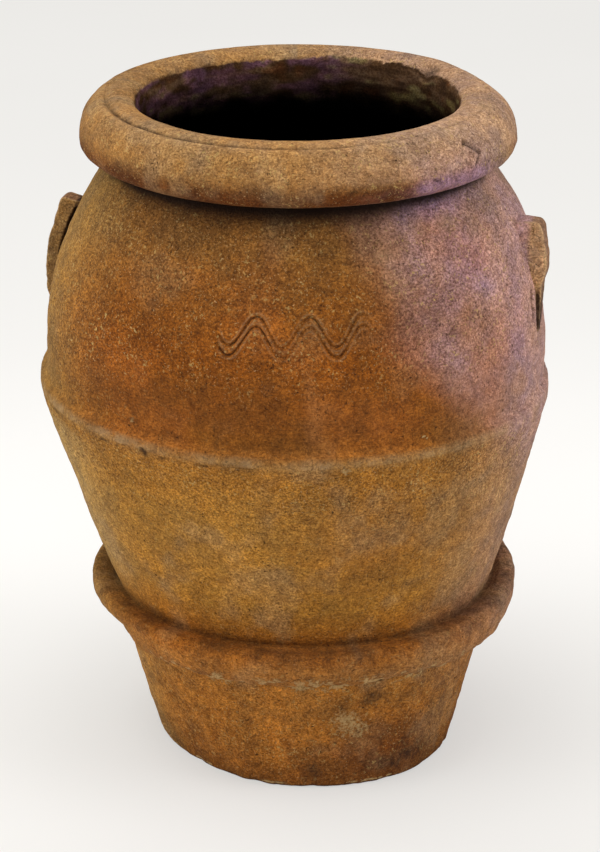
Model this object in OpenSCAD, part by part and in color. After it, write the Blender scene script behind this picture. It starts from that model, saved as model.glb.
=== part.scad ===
// Large terracotta storage jar, built from separately formed pieces of clay
// that are luted together: floor slab, wall sections, bands, rim and handles.
// Millimetres, +Z up, origin at the centre of the underside, handles on the X axis.

/* [Jar] */
// Height of the whole jar
jar_h = 750; // [735:1:780]
// Outer radius of the wall at its widest, under the belly band
belly_r = 276; // [268:1:284]
// Thickness of the clay wall, measured level
wall_t = 27; // [22:1:30]
// Height at which the shoulder leaves the belly band
shoulder_z = 446; // [442:1:456]
// How late the shoulder turns in: 2 is nearly a circle, more is squarer
shoulder_turn = 2.4; // [2:0.1:3]

/* [Foot] */
// Outer radius of the underside
base_r = 168; // [160:1:176]
// Thickness of the floor slab
floor_t = 32; // [26:1:38]
// Height of the foot wall, up to the underside of the foot cordon
foot_h = 144; // [136:1:148]
// Outer radius of the foot wall at that height
foot_top_r = 206; // [200:1:208]
// Rounding of the worn lower edge
foot_edge = 4; // [2:0.5:6]
// Radius of the concave fillet of clay between floor and wall
fillet_r = 24; // [16:1:30]

/* [Foot cordon] */
// Outer radius of the cordon's lip
cordon_r = 240; // [234:1:246]
// Height of the cordon's lip
cordon_z = 186; // [182:1:190]
// Radius of the rounded lip
cordon_round = 9; // [6:0.5:11]
// Outer radius of the wall in the crease above the cordon
crease_r = 210; // [208:1:213]
// Height of that crease
crease_z = 188; // [184:1:191]

/* [Belly band] */
// Height at which the band's lower edge runs out into the wall
band_z = 390; // [384:1:394]
// How far the band stands proud of the shoulder
band_t = 7; // [4:0.5:10]
// Height of the band's widest line
band_crest_z = 430; // [424:1:434]

/* [Neck and rim] */
// Inner radius of the mouth
mouth_r = 174; // [168:1:178]
// Outer radius of the neck, which is the seat of the rim collar
neck_r = 202; // [198:1:206]
// Height at which the shoulder ends and the neck begins
neck_z = 683; // [676:1:690]
// Height of the straight throat inside the neck
throat_h = 40; // [30:1:42]
// Outer radius of the rim collar
rim_r = 236; // [230:1:242]
// Height of the collar's widest part above its underside
rim_belly = 18; // [12:1:24]
// Depth of the groove between neck and collar on top of the rim
rim_groove = 4; // [2:0.5:6]

/* [Handles] */
// Width of the strap
handle_w = 26; // [22:1:34]
// Distance from the jar's axis to the outside of the strap at its widest
handle_r = 279; // [277:0.5:282]
// How far the strap leans in towards its upper end
handle_lean = 9; // [6:0.5:11]
// Height of the strap's upper end
handle_top = 620; // [614:1:626]
// Height of the strap's lower end
handle_bottom = 500; // [492:1:506]
// Size of the rounded bend under the strap's upper end
handle_bend = 24; // [18:1:28]
// Rounding of the strap's corners, seen from outside
handle_corner = 9; // [5:1:11]
// Width of the slit between the left strap and the wall
slit_t = 3.5; // [2:0.5:4]
// Height of the slit
slit_h = 50; // [30:1:60]

/* [Hidden] */
$fn = 96;

clay_light = [0.72, 0.48, 0.28];
clay = [0.66, 0.40, 0.21];
clay_dark = [0.52, 0.30, 0.17];

// Each joint between two wall sections is bevelled, and rises inwards by this much.
bevel = 12;
// Heights of the joints on the outside of the wall; a band covers each of them.
foot_joint_z = 160;
belly_joint_z = 424;
// The slab's edge is bevelled too, and the foot wall is pressed over it.
slab_lap = 10;

slab_r = base_r - wall_t + slab_lap;
inner_base_r = base_r - wall_t;
belly_straight_z = band_z + 10;
throat_top_z = neck_z + throat_h;
curve_steps = 10;
shoulder_steps = 22;

function mix(a, b, t) = a + (b - a) * t;
function arc(c, rx, rz, from, to, n) =
    [for (i = [0:n]) let (a = mix(from, to, i / n)) [c[0] + rx * cos(a), c[1] + rz * sin(a)]];
function bezier(a, b, c, n) =
    [for (i = [0:n]) let (t = i / n) mix(mix(a, b, t), mix(b, c, t), t)];

// Outer radius of the foot wall, the belly wall and the shoulder at height z.
function foot_r(z) = mix(base_r, foot_top_r, z / foot_h);
cone_slope = (belly_r - crease_r) / (belly_straight_z - crease_z);
function cone_r(z) = crease_r + cone_slope * (z - crease_z);
function shoulder_r(z) =
    belly_r - (belly_r - neck_r) * pow((z - shoulder_z) / (neck_z - shoulder_z), shoulder_turn);
// Outer radius of the wall behind the foot cordon.
function behind_cordon_r(z) = mix(foot_top_r, crease_r, (z - foot_h) / (crease_z - foot_h));

// Outline of the shoulder between two heights, moved out level by `out`.
function shoulder_line(z0, z1, out = 0) =
    [for (i = [0:shoulder_steps]) let (z = mix(z0, z1, i / shoulder_steps)) [shoulder_r(z) + out, z]];

// Inner radius of the shoulder, which ends flush with the throat.
function shoulder_inner_r(z) =
    let (t = (z - belly_joint_z - bevel) / (neck_z - belly_joint_z - bevel))
    mix(belly_r, mouth_r + wall_t, pow(max(t, 0), shoulder_turn)) - wall_t;

module turned(points) {
    rotate_extrude() polygon(points);
}

// Disc that closes the jar's underside.
module floor_slab() {
    color(clay_dark) cylinder(h = floor_t, r1 = slab_r, r2 = inner_base_r);
}

// Coil smeared into the corner between floor and wall, so that the jar holds liquid.
module floor_fillet() {
    wall_end = [foot_inner_r(floor_t + fillet_r), floor_t + fillet_r];
    corner = [inner_base_r - 2, floor_t + 2];
    color(clay_dark) turned(concat(
        [[inner_base_r, floor_t]],
        bezier(wall_end, corner, [inner_base_r - fillet_r, floor_t], curve_steps)
    ));
}

// Inner radius of the foot wall above the floor.
function foot_inner_r(z) =
    mix(inner_base_r, behind_cordon_r(foot_joint_z) - wall_t,
        (z - floor_t) / (foot_joint_z + bevel - floor_t));

// Lowest wall section, pressed over the slab's edge.
module foot_wall() {
    color(clay) turned([
        [slab_r, 0],
        [base_r - foot_edge, 0],
        [base_r, foot_edge],
        [foot_top_r, foot_h],
        [behind_cordon_r(foot_joint_z), foot_joint_z],
        [behind_cordon_r(foot_joint_z) - wall_t, foot_joint_z + bevel],
        [inner_base_r, floor_t]
    ]);
}

// Broad ledge-shaped band over the joint of foot and belly.
module foot_cordon() {
    lip = [cordon_r - cordon_round, cordon_z];
    under = [for (i = [0:curve_steps]) let (a = 90 * i / curve_steps)
        [mix(foot_top_r, cordon_r, sin(a)), mix(foot_h, cordon_z, 1 - cos(a))]];
    color(clay_dark) turned(concat(
        under,
        arc(lip, cordon_round, cordon_round, 9, 90, curve_steps),
        [[crease_r, crease_z], [behind_cordon_r(foot_joint_z), foot_joint_z]]
    ));
}

// Wall section from the foot cordon out to the widest part.
module belly_wall() {
    color(clay) turned([
        [behind_cordon_r(foot_joint_z), foot_joint_z],
        [crease_r, crease_z],
        [belly_r, belly_straight_z],
        [belly_r, belly_joint_z],
        [belly_r - wall_t, belly_joint_z + bevel],
        [belly_r - wall_t, belly_straight_z],
        [behind_cordon_r(foot_joint_z) - wall_t, foot_joint_z + bevel]
    ]);
}

// Wedge-shaped band over the joint of belly and shoulder: it runs on from the belly
// wall's slope and ends in a small rounded ledge at the shoulder.
module belly_band() {
    ledge_r = belly_r + band_t;
    toe = [cone_r(band_z), band_z];
    meet_z = mix(band_z, band_crest_z, 0.6);
    color(clay_light) turned(concat(
        bezier(toe, [ledge_r, meet_z], [ledge_r, band_crest_z], curve_steps),
        arc([belly_r, band_crest_z], band_t, shoulder_z - band_crest_z, 9, 90, curve_steps),
        [[belly_r, belly_straight_z]]
    ));
}

// Wall section from the belly band up to the neck.
module shoulder_wall() {
    inner = [for (i = [shoulder_steps:-1:0])
        let (z = mix(belly_joint_z + bevel, neck_z, i / shoulder_steps)) [shoulder_inner_r(z), z]];
    color(clay) turned(concat(
        [[belly_r, belly_joint_z]],
        shoulder_line(shoulder_z, neck_z),
        inner
    ));
}

// Short upright neck with the straight throat; its rounded top is the mouth's edge.
module neck_ring() {
    crown = (neck_r - mouth_r) / 2;
    crown_h = jar_h - rim_groove - throat_top_z;
    color(clay) turned(concat(
        [[mouth_r, neck_z], [neck_r, neck_z], [neck_r, jar_h - rim_groove]],
        arc([neck_r - crown, throat_top_z], crown, crown_h + rim_groove / 2, 62, 180, curve_steps)
    ));
}

// Thick drooping collar around the neck.
module rim_collar() {
    widest_z = neck_z + rim_belly;
    crest_r = neck_r + 6;
    color(clay_light) turned(concat(
        arc([neck_r, widest_z], rim_r - neck_r, rim_belly, -90, 0, curve_steps),
        arc([crest_r, widest_z], rim_r - crest_r, jar_h - widest_z, 9, 90, curve_steps),
        [[neck_r, jar_h - rim_groove]]
    ));
}

// Solid of revolution that fills the shoulder, widened by `out`, between two heights.
module shoulder_core(z0, z1, out = 0) {
    turned(concat([[0, z0]], shoulder_line(z0, z1, out), [[0, z1]]));
}

// Outline of the strap seen from the side: it leaves the wall level, bends down
// and runs out into the wall at its lower end.
module strap_side() {
    bend_z = handle_top - handle_bend;
    bend_r = handle_r - handle_lean;
    widest_z = mix(handle_bottom, handle_top, 0.35);
    toe_r = shoulder_r(handle_bottom) - 1;
    polygon(concat(
        [[neck_r, handle_top]],
        bezier([bend_r - handle_bend, handle_top], [bend_r - 2, handle_top], [bend_r, bend_z], curve_steps),
        bezier([handle_r - 1, mix(bend_z, widest_z, 0.8)], [handle_r, widest_z],
            [handle_r, widest_z - 10], 4),
        bezier([handle_r - 1, widest_z - 20], [handle_r - 2, mix(handle_bottom, widest_z, 0.2)],
            [toe_r, handle_bottom], 6),
        [[neck_r, handle_bottom]]
    ));
}

// Outline of the strap seen from outside: upright, with round corners.
module strap_front() {
    x = handle_w / 2 - handle_corner;
    top = handle_top - handle_corner;
    bottom = handle_bottom + handle_corner;
    for (p = [[-x, top], [x, top], [-x, bottom], [x, bottom]]) translate(p) circle(handle_corner);
    translate([-handle_w / 2, bottom]) square([handle_w, top - bottom]);
    translate([-x, handle_bottom]) square([2 * x, handle_top - handle_bottom]);
}

// Strap lug on the +X side, pressed on to the shoulder.
module strap() {
    difference() {
        intersection() {
            translate([0, handle_w / 2, 0]) rotate([90, 0, 0]) linear_extrude(handle_w) strap_side();
            translate([neck_r, 0, 0]) rotate([90, 0, 90]) linear_extrude(belly_r) strap_front();
        }
        shoulder_core(handle_bottom - 5, handle_top + 5);
    }
}

// The left strap stands off the wall in its upper half, which leaves a dark slit.
module left_handle() {
    slit_top = handle_top - 10;
    color(clay_light) rotate([0, 0, 180]) difference() {
        strap();
        shoulder_core(slit_top - slit_h, slit_top, slit_t);
    }
}

module right_handle() {
    color(clay_light) strap();
}

floor_slab();
floor_fillet();
foot_wall();
foot_cordon();
belly_wall();
belly_band();
shoulder_wall();
neck_ring();
rim_collar();
left_handle();
right_handle();
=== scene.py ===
"""Large hand-built terracotta jar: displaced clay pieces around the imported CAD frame."""

import math

import bpy
import numpy as np
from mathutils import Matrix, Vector


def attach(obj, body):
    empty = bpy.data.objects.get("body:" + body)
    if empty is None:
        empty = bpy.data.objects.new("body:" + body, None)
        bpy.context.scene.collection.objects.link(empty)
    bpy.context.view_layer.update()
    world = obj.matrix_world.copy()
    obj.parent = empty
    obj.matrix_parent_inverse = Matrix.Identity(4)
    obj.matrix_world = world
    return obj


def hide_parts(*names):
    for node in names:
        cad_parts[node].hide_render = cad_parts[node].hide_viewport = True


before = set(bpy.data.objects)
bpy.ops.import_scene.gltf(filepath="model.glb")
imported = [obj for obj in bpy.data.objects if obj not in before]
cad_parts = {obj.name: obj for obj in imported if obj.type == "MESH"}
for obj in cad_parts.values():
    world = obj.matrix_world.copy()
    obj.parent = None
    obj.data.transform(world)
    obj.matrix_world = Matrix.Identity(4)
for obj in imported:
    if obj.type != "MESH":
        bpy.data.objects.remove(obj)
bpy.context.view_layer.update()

TAU = 2 * math.pi
MM = 0.001
BODY = "root"

# -------- sizes, in mm
JAR_H = 750
WALL = 27
BASE_R = 168
FOOT_TOP_R, FOOT_H = 205.6, 143.7
CREASE_R, CREASE_Z = 209.8, 187.5
CORDON_R, CORDON_Z, CORDON_ROUND = 240.5, 181, 9
BELLY_R, BELLY_Z = 275.4, 398
LEDGE_R, LEDGE_Z = 282.4, 424
SHOULDER_Z, SHOULDER_TURN = 446, 2.4
NECK_R, NECK_Z = 202, 683
MOUTH_R, MOUTH_EDGE_Z = 174, 738
RIM_R, RIM_WIDEST_Z, RIM_CREST_R, CREST_R = 236.4, 702, 203, 198
GROOVE_R, GROOVE_Z = 209, 747
FLOOR_T, FILLET = 32, 24
FOOT_JOINT_Z, BELLY_JOINT_Z, BEVEL = 160, 424, 12

# The side that the camera sees lies this far round from -Y, in degrees.
FRONT = 12
# The handmade body leans: sideways drift of its centre line by height, in mm.
DRIFT_Z = (0, 50, 150, 225, 320, 395, 425, 465, 548, 620, 703, 750)
DRIFT = (5.9, 4.8, 4.6, 0.8, -2.8, -6.8, -7.9, -5.9, -5.4, -3.4, -3.2, -3.8)
# The belly ledge isn't level: one side stands this much higher, fading out above and below.
LEDGE_TILT, LEDGE_TILT_REACH = 4.6, 90
# The far side of the rim stands lower than the near side, by twice this much.
RIM_SAG = 1.5
# The groove on the rim wanders: its radius by angle round from the front, in degrees.
GROOVE_AT = (-180, -72, -46, -10, 10, 30, 57, 180)
GROOVE_PATH = (209, 207, 211, 214, 213, 215, 207, 209)
# The cordon's lip stands this much higher, in mm, by angle round from the front.
CORDON_AT = (-180, -95, -40, 0, 30, 60, 95, 180)
CORDON_LIFT = (6, 7, 2, 0, 1, 5, 11, 6)
# An incised comb line on the shoulder: centre height, swing, half length and wavelength
# in degrees, distance between its two strokes, depth and half width of a stroke.
MARK_Z, MARK_SWING, MARK_REACH, MARK_WAVE = 561, 15, 18, 12
MARK_GAP, MARK_DEPTH, MARK_HALF = 10, 1.7, 2.1
# Strap lugs: half width, and the outlines seen from the side as (radius, height) points.
LUG_HALF = 12.5
LEFT_AZIMUTH, RIGHT_AZIMUTH = 180.8, -1
RIGHT_OUTER = (
    (236, 621), (252, 624), (267, 623), (271, 617), (273, 610), (275, 602), (276.5, 594),
    (277.5, 582), (277.5, 570), (275.5, 562), (272.5, 554), (272.5, 545), (273.5, 534),
    (275, 520), (274.5, 508), (270, 500),
)
LEFT_OUTER = (
    (238, 612), (252, 615), (260, 618), (266, 616), (269, 606), (272, 597), (274.5, 585),
    (279, 571), (282, 556), (283.5, 530), (283.5, 508), (280.5, 494), (271, 486),
)
# How far the straps are sunk into the wall, and where the right one's fillet ends.
LUG_SUNK, FILLET_R = 6, 258
# Lower ends of the straps: upper height, lower height, sideways swing, loss of half width.
LEFT_TAIL, RIGHT_TAIL = (512, 486, 2, 5), (556, 514, -20, 8.5)
# Slit behind the left strap: width, and upper and lower height.
SLIT, SLIT_TOP, SLIT_LOW = 3, 611, 553

# Mesh spacing on seen faces, inner faces, faces hidden in a joint and rounded edges, in mm.
FINE, INNER, HIDDEN = 2.3, 5.0, 8.0
ROUNDED = 0.8 * FINE


# -------- noise
def smooth(t):
    t = np.clip(t, 0, 1)
    return t * t * (3 - 2 * t)


def ramp(x, a, b):
    return smooth((x - a) / (b - a))


def lattice(theta, z, around, cell, seed):
    """Smooth random field, about -1 to 1, that closes on itself round the jar."""
    rng = np.random.default_rng(seed)
    rows = int(900 / cell) + 3
    grid = rng.uniform(-1, 1, (rows, around))
    u = (theta / TAU) % 1 * around
    v = np.clip((z + 40) / cell, 0, rows - 2.001)
    iu, iv = np.floor(u).astype(int), np.floor(v).astype(int)
    fu, fv = smooth(u - iu), smooth(v - iv)
    a, b = iu % around, (iu + 1) % around
    low = grid[iv, a] * (1 - fu) + grid[iv, b] * fu
    high = grid[iv + 1, a] * (1 - fu) + grid[iv + 1, b] * fu
    return low * (1 - fv) + high * fv


def mottle(theta, z, size, seed, octaves=3):
    """Sum of lattices with cells of about size mm and smaller."""
    total, amp = 0, 1
    for k in range(octaves):
        total = total + amp * lattice(theta, z, max(5, int(1600 / size)), size, seed + k)
        size, amp = size / 2.1, amp * 0.5
    return total


def facing(theta):
    """Angle round from the front, in degrees: + is to the camera's right."""
    return (np.degrees(theta) + 90 - FRONT + 180) % 360 - 180


def rightward(f, low, high):
    """Rises to 1 towards the camera's right and fades again behind the jar."""
    return ramp(f, low, high) * (1 - ramp(f, 135, 180))


def spot(theta, z, angle, height, half_angle, half_height):
    """1 at a place on the jar, falling smoothly to 0 at the given half sizes."""
    d = np.hypot((facing(theta) - angle) / half_angle, (z - height) / half_height)
    return smooth(1 - d)


def spots(theta, z, table):
    """Sum of spots from rows of (strength, angle, height, half angle, half height)."""
    return sum(strength * spot(theta, z, *where) for strength, *where in table)


# -------- handmade shape
def angle_path(theta, stops, values):
    """Value that changes smoothly with the angle round from the front."""
    return np.interp(facing(theta), stops, values)


def stroke(r, theta, z, start, end, half_width):
    """1 on the straight stroke between two (angle, radius, height) places, 0 off it."""
    a, b = (
        np.array([q * math.sin(math.radians(p)), -q * math.cos(math.radians(p)), h])
        for p, q, h in (start, end)
    )
    f = np.radians(facing(theta))
    at = np.column_stack([r * np.sin(f), -r * np.cos(f), z])
    along = np.clip((at - a) @ (b - a) / max((b - a) @ (b - a), 1e-9), 0, 1)
    gap = np.linalg.norm(at - a - along[:, None] * (b - a), axis=1)
    return smooth(1 - gap / half_width)


def comb_line(theta, z):
    """The incised line's two strokes: (mask of the cuts, mask of their raised burrs)."""
    f = facing(theta)
    degree = BELLY_R * math.pi / 180
    swing = MARK_SWING * np.sin(TAU * f / MARK_WAVE)
    slope = MARK_SWING * TAU / MARK_WAVE * np.cos(TAU * f / MARK_WAVE) / degree
    worn = 0.45 + 0.55 * smooth(0.8 + mottle(theta, z, 40, 61))
    ends = 1 - ramp(np.abs(f), MARK_REACH - 1.5, MARK_REACH)
    cut, burr = 0, 0
    for side in (-0.5, 0.5):
        off = np.abs(z - MARK_Z - side * MARK_GAP - swing) / np.sqrt(1 + slope**2)
        cut = np.maximum(cut, smooth(1 - off / MARK_HALF))
        burr = np.maximum(burr, smooth(1 - np.abs(off - MARK_HALF - 1.2) / 1.6))
    return cut * worn * ends, burr * ends * worn * (1 - cut)


def on_shoulder(r, z):
    return (z > SHOULDER_Z) & (z < NECK_Z - 1) & (r > shoulder_mid(z))


def shoulder_mid(z):
    """Radius half way through the shoulder wall."""
    t = np.clip((z - SHOULDER_Z) / (NECK_Z - SHOULDER_Z), 0, 1)
    return BELLY_R - (BELLY_R - NECK_R) * t**SHOULDER_TURN - WALL / 2


# Damage: strokes as (start, end, half width, depth), places as (angle, radius, height).
SCRATCHES = (
    ((49.0, 227.5, 735), (54.0, 233.5, 720), 3.4, 4.2),
    ((54.0, 233.5, 720), (51.5, 236, 709), 2.6, 2.4),
    ((49.0, 227.5, 735), (46.5, 231.5, 724), 2.4, 1.8),
    ((46.5, 231.5, 724), (49.0, 235.5, 712), 2.6, 1.5),
    ((36.2, 213.5, 747), (36.6, 218, 745), 2.0, 1.6),
    ((36.5, 221, 742), (37.2, 224, 739), 2.0, 1.6),
    ((68.6, 216, 746), (70.6, 220, 744), 2.2, 1.2),
    ((58.0, 220, 743), (59.3, 222, 741), 2.0, 1.0),
    ((36.2, 236.3, 706), (38.0, 236.3, 703), 2.4, 2.2),
    ((13.6, 236.4, 705), (14.2, 236.4, 704), 2.2, 2.0),
    ((-39.2, 275, 452.5), (-36.6, 275, 447.5), 1.7, 2.4),
    ((-25.4, 272, 513), (-24.2, 272, 511), 1.5, 1.6),
    ((-82.0, 236, 181), (-78.0, 234, 166), 6.0, 4.0),
    ((71.6, 265.5, 550), (70.4, 270.8, 522), 6.0, 9.0),
    ((26.5, 190, 60), (30.0, 190, 52), 3.0, 1.2),
)


def sink(r, z, amount):
    """Moves points into the clay: round the collar's own centre, or else level."""
    centre_r, centre_z = RIM_CREST_R, RIM_WIDEST_Z + 8
    collar = (z > NECK_Z) & (r > GROOVE_R - 3)
    away_r, away_z = np.where(collar, r - centre_r, 1.0), np.where(collar, z - centre_z, 0.0)
    length = np.hypot(away_r, away_z) + 1e-6
    return r - amount * away_r / length, z - amount * away_z / length


def wander_groove(r, theta, z):
    """Groove on the rim: it wanders, and is deep at the left and shallow at the right."""
    f = facing(theta)
    shift = angle_path(theta, GROOVE_AT, GROOVE_PATH) - GROOVE_R
    near = np.interp(r, (MOUTH_R, GROOVE_R, RIM_R - 4), (0, 1, 0)) * ramp(z, 728, 738)
    deep = (1 - 0.8 * ramp(f, 8, 24)) * (1 - ramp(f, 60, 80)) * ramp(f, -105, -75)
    filled = smooth(1 - np.abs(r - GROOVE_R) / 4.5) * ramp(z, 736, 744)
    dip = smooth(1 - np.abs(r - GROOVE_R - 1) / 9) * ramp(z, 736, 744)
    z = z + 2.4 * filled * (1 - deep) - 2.0 * dip * deep
    return r + shift * near, z


def damage(r, theta, z, crumbly):
    """Scratches, gouges and broken places, and the chipped edge of the mouth at the back."""
    depth = 0
    for start, end, half_width, amount in SCRATCHES:
        depth = depth + amount * stroke(r, theta, z, start, end, half_width)
    pitted = 2 * spot(theta, z, 50, 722, 7, 22) + spot(theta, z, 37, 712, 5, 14)
    depth = depth + 1.5 * pitted * crumbly
    depth = depth + 7.0 * spot(theta, z, 113, 738, 24, 50) * ramp(r, 200, 222)
    r, z = sink(r, z, depth)
    mouth = ramp(r, MOUTH_R - 4, MOUTH_R) * (1 - ramp(r, 184, 196))
    notch = spot(theta, z, 127, 742, 6, 22) * mouth
    back = ramp(np.abs(facing(theta)), 100, 150)
    back = back * smooth(1 - np.abs(r - MOUTH_R - 6) / 14) * ramp(z, 720, 738)
    z = z - 7 * notch - 2.4 * back * ramp(mottle(theta, r, 10, 79), 0, 0.9)
    return r, z


def bulge(r, theta, z):
    """The belly wall swells a little and the foot is out of round."""
    swell = np.sin(math.pi * np.clip((z - CREASE_Z) / (BELLY_Z - CREASE_Z), 0, 1))
    r = r + 1.6 * swell
    r = r + 4 * spot(theta, z, 40, 0, 45, 70) - 7 * spot(theta, z, -45, 0, 38, 90)
    near_side = np.cos(np.radians(np.clip(facing(theta), -90, 90)))
    return r + 10 * near_side**2 * (1 - ramp(z, 0, 110))


def lift_cordon(r, theta, z):
    """The cordon's lip stands higher at the sides and is chipped away at the left."""
    below_belly = z < 205
    lift = angle_path(theta, CORDON_AT, CORDON_LIFT)
    z = z + lift * ramp(z, 150, 178) * ramp(r, 209, 226) * below_belly
    chipped = 6 * spot(theta, z, -56, 168, 13, 34) + 15 * spot(theta, z, -69, 160, 17, 28)
    return r - chipped * ramp(r, 211, 226) * below_belly, z


def crumble_foot(r, theta, z, crumbly):
    """Ragged clay under the cordon, and broken crumbs along the edge on the floor."""
    level = np.zeros_like(z)
    droop = 2.0 * lattice(theta, level, 24, 60, 72) + 1.6 * lattice(theta, level, 90, 60, 73)
    droop = droop + 1.0 * lattice(theta, level, 260, 60, 78)
    ragged = (r > FOOT_TOP_R) & (z > FOOT_H - 3) & (z < CORDON_Z)
    r = r + np.where(ragged, 0.8 * droop * ramp(z, FOOT_H + 26, FOOT_H), 0)
    z = z - np.where(ragged, droop * ramp(z, FOOT_H + 14, FOOT_H), 0)
    edge = ramp(9 - z, 0, 8) * (r > BASE_R - 9)
    r = r - edge * (2.2 * ramp(lattice(theta, z, 52, 60, 74), 0.1, 0.8) + 1.0 * crumbly)
    return r, z


def rub_ledge(r, theta, z):
    """The ledge's crest wanders up and down and is rubbed flat in places."""
    crest = smooth(1 - np.abs(z - LEDGE_Z - 6) / 26) * (r > BELLY_R - 3)
    level = np.full_like(z, 400)
    wander = 1.6 * lattice(theta, level, 18, 60, 75) + 0.7 * lattice(theta, level, 60, 60, 76)
    rubbed = crest * ramp(lattice(theta, level - 100, 30, 60, 77), 0.1, 0.8)
    return r - 1.1 * rubbed * ramp(r, BELLY_R, LEDGE_R), z + crest * wander


def carve(r, theta, z):
    """The jar's own irregularities, worked from the rim down, and the incised line."""
    r, z = wander_groove(r, theta, z)
    crumbly = ramp(mottle(theta, z, 14, 71), 0.1, 0.9)
    r, z = damage(r, theta, z, crumbly)
    r = bulge(r, theta, z)
    r, z = lift_cordon(r, theta, z)
    # The shoulder swells at the right, round the strap.
    r = r + 4.5 * spot(theta, z, 90, 618, 26, 46) * (z < NECK_Z)
    r, z = crumble_foot(r, theta, z, crumbly)
    r, z = rub_ledge(r, theta, z)
    cut, burr = comb_line(theta, z)
    r = r + np.where(on_shoulder(r, z), 0.5 * burr - MARK_DEPTH * cut, 0)
    return r, z


def displace(r, theta, z):
    """Where the point (r, theta, z) of the true jar lies on the handmade one."""
    wave = sum(
        a * np.cos(m * theta + p + z / q)
        for m, a, p, q in ((2, 0.9, 0.4, 260), (3, 0.7, 2.1, -210), (5, 0.45, 4.0, 170))
    )
    grain = 0.7 * lattice(theta, z, 26, 60, 11) + 0.35 * lattice(theta, z, 70, 22, 12)
    grain = grain + 0.22 * lattice(theta, z, 190, 9, 13)
    strokes = 0.28 * lattice(theta, z, 14, 7, 14) + 0.2 * lattice(theta, z, 34, 4.5, 15)
    lumps = 0.45 * lattice(theta, z, 110, 15, 16) * (1 + 0.8 * (z < 200))
    r = r + wave + grain + strokes + lumps
    angle = np.radians(facing(theta))
    tilt = LEDGE_TILT * np.exp(-(((z - LEDGE_Z) / LEDGE_TILT_REACH) ** 2))
    sag = RIM_SAG * (1 - np.cos(angle)) * ramp(z, 560, 700)
    new_z = z - tilt * np.sin(angle) - sag
    lean = np.interp(z, DRIFT_Z, DRIFT)
    right = math.radians(FRONT)
    x = r * np.cos(theta) + lean * math.cos(right)
    y = r * np.sin(theta) + lean * math.sin(right)
    return x, y, new_z


# -------- outlines of the pieces, as (radius, height) points
def bezier(a, b, c, n=24):
    return [
        tuple((1 - t) ** 2 * p + 2 * t * (1 - t) * q + t * t * s for p, q, s in zip(a, b, c))
        for t in np.linspace(0, 1, n)
    ]


def arc(centre, rr, rz, start, end, n=24):
    return [
        (centre[0] + rr * math.cos(math.radians(a)), centre[1] + rz * math.sin(math.radians(a)))
        for a in np.linspace(start, end, n)
    ]


def distances(p):
    """How far along a line of points each of them lies."""
    return np.concatenate([[0], np.cumsum(np.hypot(*np.diff(p, axis=0).T))])


def resample_count(points, n):
    p = np.array(points, float)
    run = distances(p)
    t = np.linspace(0, run[-1], n)
    return np.column_stack([np.interp(t, run, p[:, 0]), np.interp(t, run, p[:, 1])])


def resample(points, step):
    length = distances(np.array(points, float))[-1]
    return resample_count(points, max(2, int(round(length / step)) + 1))


def outline(*parts):
    """Closed outline from (points, spacing) parts; each part ends where the next starts."""
    return np.vstack([resample(points, step)[:-1] for points, step in parts])


def foot_r(z):
    return BASE_R + (FOOT_TOP_R - BASE_R) * z / FOOT_H


def cone_r(z):
    return CREASE_R + (BELLY_R - CREASE_R) * (z - CREASE_Z) / (BELLY_Z - CREASE_Z)


def shoulder_r(z):
    t = (z - SHOULDER_Z) / (NECK_Z - SHOULDER_Z)
    return BELLY_R - (BELLY_R - NECK_R) * max(t, 0) ** SHOULDER_TURN


def shoulder_inner_r(z):
    t = (z - BELLY_JOINT_Z - BEVEL) / (NECK_Z - BELLY_JOINT_Z - BEVEL)
    end = MOUTH_R + WALL
    return BELLY_R - (BELLY_R - end) * max(t, 0) ** SHOULDER_TURN - WALL


def curve(radius, z0, z1, n=40):
    return [(radius(z), z) for z in np.linspace(z0, z1, n)]


behind_r = FOOT_TOP_R + (CREASE_R - FOOT_TOP_R) * (FOOT_JOINT_Z - FOOT_H) / (CREASE_Z - FOOT_H)
INNER_BASE_R = BASE_R - WALL


def foot_inner_r(z):
    t = (z - FLOOR_T) / (FOOT_JOINT_Z + BEVEL - FLOOR_T)
    return INNER_BASE_R + (behind_r - WALL - INNER_BASE_R) * t


def foot_wall_outline():
    edge = 5  # size of the rounded lower edge
    joint_in = (behind_r - WALL, FOOT_JOINT_Z + BEVEL)
    return outline(
        ([(INNER_BASE_R + 10, 0), (BASE_R - edge, 0)], 3),
        (bezier((BASE_R - edge, 0), (BASE_R, 0), (foot_r(edge), edge)), 1.4),
        (curve(foot_r, edge, FOOT_H) + [(behind_r, FOOT_JOINT_Z)], FINE),
        ([(behind_r, FOOT_JOINT_Z), joint_in], HIDDEN),
        ([joint_in, (INNER_BASE_R, FLOOR_T)], INNER),
        ([(INNER_BASE_R, FLOOR_T), (INNER_BASE_R + 10, 0)], HIDDEN),
    )


def foot_cordon_outline():
    lip = (CORDON_R - CORDON_ROUND, CORDON_Z)
    sunk = 3
    start = FOOT_TOP_R + 5
    under = [(FOOT_TOP_R - sunk, FOOT_H - 1), (start - 1, FOOT_H - 2), (start, FOOT_H)]
    under += [
        (
            start + (CORDON_R - start) * math.sin(a),
            FOOT_H + 1 + (CORDON_Z - FOOT_H - 1) * (1 - math.cos(a)),
        )
        for a in np.linspace(0, math.pi / 2, 30)
    ]
    crown = (lip[0], CORDON_Z + CORDON_ROUND)
    gutter = bezier(crown, (CREASE_R + 8, CREASE_Z + 0.5), (CREASE_R + 1, CREASE_Z + 3))
    gutter.append((CREASE_R - sunk, CREASE_Z + 2))
    return outline(
        (under, ROUNDED),
        (arc(lip, CORDON_ROUND, CORDON_ROUND, 0, 90), ROUNDED),
        (gutter, ROUNDED),
        ([gutter[-1], under[0]], HIDDEN),
    )


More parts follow.
